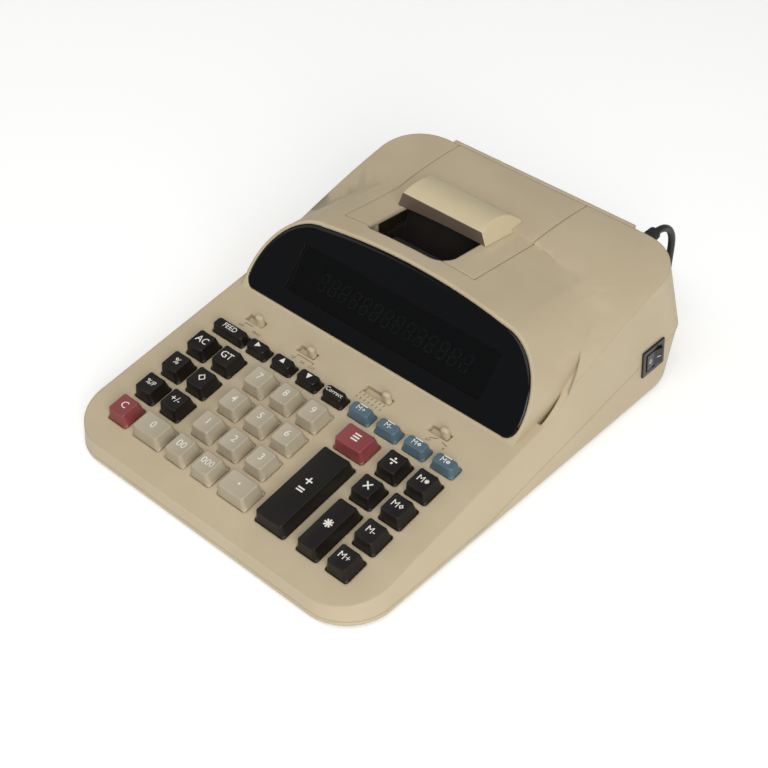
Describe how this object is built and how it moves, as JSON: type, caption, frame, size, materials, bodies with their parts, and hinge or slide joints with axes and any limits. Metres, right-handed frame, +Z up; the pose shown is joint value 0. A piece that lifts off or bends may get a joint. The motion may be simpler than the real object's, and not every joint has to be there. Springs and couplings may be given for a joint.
{
  "type": "printing desktop calculator",
  "caption": "Desktop printing calculator with sprung keys, slide switches, a domed printer housing with a dark display window, a paper slot with cutter, and a mains lead.",
  "frame": {"origin": "middle of the case's footprint, on the table", "axes": "+Z up, -Y towards the user, +X to the user's right"},
  "size_m": [0.2254, 0.3602, 0.0925],
  "materials": {
    "case_plastic": "fine texture",
    "cutter_plastic": "satin",
    "number_key": "satin",
    "black_key": "satin",
    "red_key": "satin",
    "blue_key": "satin",
    "window": "polished",
    "tube": "polished",
    "contact_rubber": "matte",
    "board": "satin",
    "frame_metal": "satin",
    "roller_rubber": "matte",
    "steel": "satin",
    "foot_rubber": "matte",
    "switch_plastic": "satin",
    "cord_rubber": "matte"
  },
  "bodies": {
    "case": {"lower_case": "case_plastic", "upper_case": "case_plastic", "printer_cover": "case_plastic", "cutter_bar": "cutter_plastic", "display_lens": "window", "display_tube": "tube", "contact_sheet": "contact_rubber", "circuit_board": "board", "printer_frame": "frame_metal", "case_screws": "steel", "rubber_feet": "foot_rubber", "switch_housing": "switch_plastic", "strain_relief": "cord_rubber", "power_cord": "cord_rubber", "cord_coil": "cord_rubber", "plug": "cord_rubber"},
    "feed_roller": {"feed_roller": "roller_rubber"},
    "power_rocker": {"power_rocker": "switch_plastic"},
    "key_clear": {"key_clear": "red_key"},
    "key_percent_print": {"key_percent_print": "black_key"},
    "key_percent": {"key_percent": "black_key"},
    "key_all_clear": {"key_all_clear": "black_key"},
    "key_sign": {"key_sign": "black_key"},
    "key_subtotal": {"key_subtotal": "black_key"},
    "key_grand_total": {"key_grand_total": "black_key"},
    "key_1": {"key_1": "number_key"},
    "key_2": {"key_2": "number_key"},
    "key_3": {"key_3": "number_key"},
    "key_4": {"key_4": "number_key"},
    "key_5": {"key_5": "number_key"},
    "key_6": {"key_6": "number_key"},
    "key_7": {"key_7": "number_key"},
    "key_8": {"key_8": "number_key"},
    "key_9": {"key_9": "number_key"},
    "key_0": {"key_0": "number_key"},
    "key_00": {"key_00": "number_key"},
    "key_000": {"key_000": "number_key"},
    "key_point": {"key_point": "number_key"},
    "key_plus_equals": {"key_plus_equals": "black_key"},
    "key_minus_equals": {"key_minus_equals": "red_key"},
    "key_total": {"key_total": "black_key"},
    "key_multiply": {"key_multiply": "black_key"},
    "key_divide": {"key_divide": "black_key"},
    "key_m1_plus": {"key_m1_plus": "black_key"},
    "key_m1_minus": {"key_m1_minus": "black_key"},
    "key_m1_subtotal": {"key_m1_subtotal": "black_key"},
    "key_m1_total": {"key_m1_total": "black_key"},
    "key_feed": {"key_feed": "black_key"},
    "key_right": {"key_right": "black_key"},
    "key_up": {"key_up": "black_key"},
    "key_down": {"key_down": "black_key"},
    "key_correct": {"key_correct": "black_key"},
    "key_m2_plus": {"key_m2_plus": "blue_key"},
    "key_m2_minus": {"key_m2_minus": "blue_key"},
    "key_m2_subtotal": {"key_m2_subtotal": "blue_key"},
    "key_m2_total": {"key_m2_total": "blue_key"},
    "slide_print": {"slide_print": "case_plastic"},
    "slide_round": {"slide_round": "case_plastic"},
    "slide_decimal": {"slide_decimal": "case_plastic"},
    "slide_total": {"slide_total": "case_plastic"}
  },
  "joints": [
    {"name": "key_clear_press", "type": "slide", "parent": "case", "child": "key_clear", "axis": [0, 0.1711, -0.9853], "range_m": [0, 0.003], "stiffness_N_per_m": 150, "springref_m": -0.002},
    {"name": "key_percent_print_press", "type": "slide", "parent": "case", "child": "key_percent_print", "axis": [0, 0.1711, -0.9853], "range_m": [0, 0.003], "stiffness_N_per_m": 150, "springref_m": -0.002},
    {"name": "key_percent_press", "type": "slide", "parent": "case", "child": "key_percent", "axis": [0, 0.1711, -0.9853], "range_m": [0, 0.003], "stiffness_N_per_m": 150, "springref_m": -0.002},
    {"name": "key_all_clear_press", "type": "slide", "parent": "case", "child": "key_all_clear", "axis": [0, 0.1711, -0.9853], "range_m": [0, 0.003], "stiffness_N_per_m": 150, "springref_m": -0.002},
    {"name": "key_sign_press", "type": "slide", "parent": "case", "child": "key_sign", "axis": [0, 0.1711, -0.9853], "range_m": [0, 0.003], "stiffness_N_per_m": 150, "springref_m": -0.002},
    {"name": "key_subtotal_press", "type": "slide", "parent": "case", "child": "key_subtotal", "axis": [0, 0.1711, -0.9853], "range_m": [0, 0.003], "stiffness_N_per_m": 150, "springref_m": -0.002},
    {"name": "key_grand_total_press", "type": "slide", "parent": "case", "child": "key_grand_total", "axis": [0, 0.1711, -0.9853], "range_m": [0, 0.003], "stiffness_N_per_m": 150, "springref_m": -0.002},
    {"name": "key_1_press", "type": "slide", "parent": "case", "child": "key_1", "axis": [0, 0.1711, -0.9853], "range_m": [0, 0.003], "stiffness_N_per_m": 150, "springref_m": -0.002},
    {"name": "key_2_press", "type": "slide", "parent": "case", "child": "key_2", "axis": [0, 0.1711, -0.9853], "range_m": [0, 0.003], "stiffness_N_per_m": 150, "springref_m": -0.002},
    {"name": "key_3_press", "type": "slide", "parent": "case", "child": "key_3", "axis": [0, 0.1711, -0.9853], "range_m": [0, 0.003], "stiffness_N_per_m": 150, "springref_m": -0.002},
    {"name": "key_4_press", "type": "slide", "parent": "case", "child": "key_4", "axis": [0, 0.1711, -0.9853], "range_m": [0, 0.003], "stiffness_N_per_m": 150, "springref_m": -0.002},
    {"name": "key_5_press", "type": "slide", "parent": "case", "child": "key_5", "axis": [0, 0.1711, -0.9853], "range_m": [0, 0.003], "stiffness_N_per_m": 150, "springref_m": -0.002},
    {"name": "key_6_press", "type": "slide", "parent": "case", "child": "key_6", "axis": [0, 0.1711, -0.9853], "range_m": [0, 0.003], "stiffness_N_per_m": 150, "springref_m": -0.002},
    {"name": "key_7_press", "type": "slide", "parent": "case", "child": "key_7", "axis": [0, 0.1711, -0.9853], "range_m": [0, 0.003], "stiffness_N_per_m": 150, "springref_m": -0.002},
    {"name": "key_8_press", "type": "slide", "parent": "case", "child": "key_8", "axis": [0, 0.1711, -0.9853], "range_m": [0, 0.003], "stiffness_N_per_m": 150, "springref_m": -0.002},
    {"name": "key_9_press", "type": "slide", "parent": "case", "child": "key_9", "axis": [0, 0.1711, -0.9853], "range_m": [0, 0.003], "stiffness_N_per_m": 150, "springref_m": -0.002},
    {"name": "key_0_press", "type": "slide", "parent": "case", "child": "key_0", "axis": [0, 0.1711, -0.9853], "range_m": [0, 0.003], "stiffness_N_per_m": 150, "springref_m": -0.002},
    {"name": "key_00_press", "type": "slide", "parent": "case", "child": "key_00", "axis": [0, 0.1711, -0.9853], "range_m": [0, 0.003], "stiffness_N_per_m": 150, "springref_m": -0.002},
    {"name": "key_000_press", "type": "slide", "parent": "case", "child": "key_000", "axis": [0, 0.1711, -0.9853], "range_m": [0, 0.003], "stiffness_N_per_m": 150, "springref_m": -0.002},
    {"name": "key_point_press", "type": "slide", "parent": "case", "child": "key_point", "axis": [0, 0.1711, -0.9853], "range_m": [0, 0.003], "stiffness_N_per_m": 150, "springref_m": -0.002},
    {"name": "key_plus_equals_press", "type": "slide", "parent": "case", "child": "key_plus_equals", "axis": [0, 0.1711, -0.9853], "range_m": [0, 0.003], "stiffness_N_per_m": 150, "springref_m": -0.002},
    {"name": "key_minus_equals_press", "type": "slide", "parent": "case", "child": "key_minus_equals", "axis": [0, 0.1711, -0.9853], "range_m": [0, 0.003], "stiffness_N_per_m": 150, "springref_m": -0.002},
    {"name": "key_total_press", "type": "slide", "parent": "case", "child": "key_total", "axis": [0, 0.1711, -0.9853], "range_m": [0, 0.003], "stiffness_N_per_m": 150, "springref_m": -0.002},
    {"name": "key_multiply_press", "type": "slide", "parent": "case", "child": "key_multiply", "axis": [0, 0.1711, -0.9853], "range_m": [0, 0.003], "stiffness_N_per_m": 150, "springref_m": -0.002},
    {"name": "key_divide_press", "type": "slide", "parent": "case", "child": "key_divide", "axis": [0, 0.1711, -0.9853], "range_m": [0, 0.003], "stiffness_N_per_m": 150, "springref_m": -0.002},
    {"name": "key_m1_plus_press", "type": "slide", "parent": "case", "child": "key_m1_plus", "axis": [0, 0.1711, -0.9853], "range_m": [0, 0.003], "stiffness_N_per_m": 150, "springref_m": -0.002},
    {"name": "key_m1_minus_press", "type": "slide", "parent": "case", "child": "key_m1_minus", "axis": [0, 0.1711, -0.9853], "range_m": [0, 0.003], "stiffness_N_per_m": 150, "springref_m": -0.002},
    {"name": "key_m1_subtotal_press", "type": "slide", "parent": "case", "child": "key_m1_subtotal", "axis": [0, 0.1711, -0.9853], "range_m": [0, 0.003], "stiffness_N_per_m": 150, "springref_m": -0.002},
    {"name": "key_m1_total_press", "type": "slide", "parent": "case", "child": "key_m1_total", "axis": [0, 0.1711, -0.9853], "range_m": [0, 0.003], "stiffness_N_per_m": 150, "springref_m": -0.002},
    {"name": "key_feed_press", "type": "slide", "parent": "case", "child": "key_feed", "axis": [0, 0.1711, -0.9853], "range_m": [0, 0.003], "stiffness_N_per_m": 150, "springref_m": -0.002},
    {"name": "key_right_press", "type": "slide", "parent": "case", "child": "key_right", "axis": [0, 0.1711, -0.9853], "range_m": [0, 0.003], "stiffness_N_per_m": 150, "springref_m": -0.002},
    {"name": "key_up_press", "type": "slide", "parent": "case", "child": "key_up", "axis": [0, 0.1711, -0.9853], "range_m": [0, 0.003], "stiffness_N_per_m": 150, "springref_m": -0.002},
    {"name": "key_down_press", "type": "slide", "parent": "case", "child": "key_down", "axis": [0, 0.1711, -0.9853], "range_m": [0, 0.003], "stiffness_N_per_m": 150, "springref_m": -0.002},
    {"name": "key_correct_press", "type": "slide", "parent": "case", "child": "key_correct", "axis": [0, 0.1711, -0.9853], "range_m": [0, 0.003], "stiffness_N_per_m": 150, "springref_m": -0.002},
    {"name": "key_m2_plus_press", "type": "slide", "parent": "case", "child": "key_m2_plus", "axis": [0, 0.1711, -0.9853], "range_m": [0, 0.003], "stiffness_N_per_m": 150, "springref_m": -0.002},
    {"name": "key_m2_minus_press", "type": "slide", "parent": "case", "child": "key_m2_minus", "axis": [0, 0.1711, -0.9853], "range_m": [0, 0.003], "stiffness_N_per_m": 150, "springref_m": -0.002},
    {"name": "key_m2_subtotal_press", "type": "slide", "parent": "case", "child": "key_m2_subtotal", "axis": [0, 0.1711, -0.9853], "range_m": [0, 0.003], "stiffness_N_per_m": 150, "springref_m": -0.002},
    {"name": "key_m2_total_press", "type": "slide", "parent": "case", "child": "key_m2_total", "axis": [0, 0.1711, -0.9853], "range_m": [0, 0.003], "stiffness_N_per_m": 150, "springref_m": -0.002},
    {"name": "slide_print_move", "type": "slide", "parent": "case", "child": "slide_print", "axis": [1, 0, 0], "range_m": [-0.008, 0]},
    {"name": "slide_round_move", "type": "slide", "parent": "case", "child": "slide_round", "axis": [1, 0, 0], "range_m": [-0.008, 0]},
    {"name": "slide_decimal_move", "type": "slide", "parent": "case", "child": "slide_decimal", "axis": [1, 0, 0], "range_m": [-0.014, 0]},
    {"name": "slide_total_move", "type": "slide", "parent": "case", "child": "slide_total", "axis": [1, 0, 0], "range_m": [-0.008, 0]},
    {"name": "power_rocker_swing", "type": "hinge", "parent": "case", "child": "power_rocker", "pos_m": [0.10975, 0.108, 0.027], "axis": [-0.0802, 0, 0.9968], "range_deg": [0, 14]},
    {"name": "feed_roller_turn", "type": "hinge", "parent": "case", "child": "feed_roller", "pos_m": [-0.017, 0.055, 0.058], "axis": [1, 0, 0], "continuous": true}
  ]
}
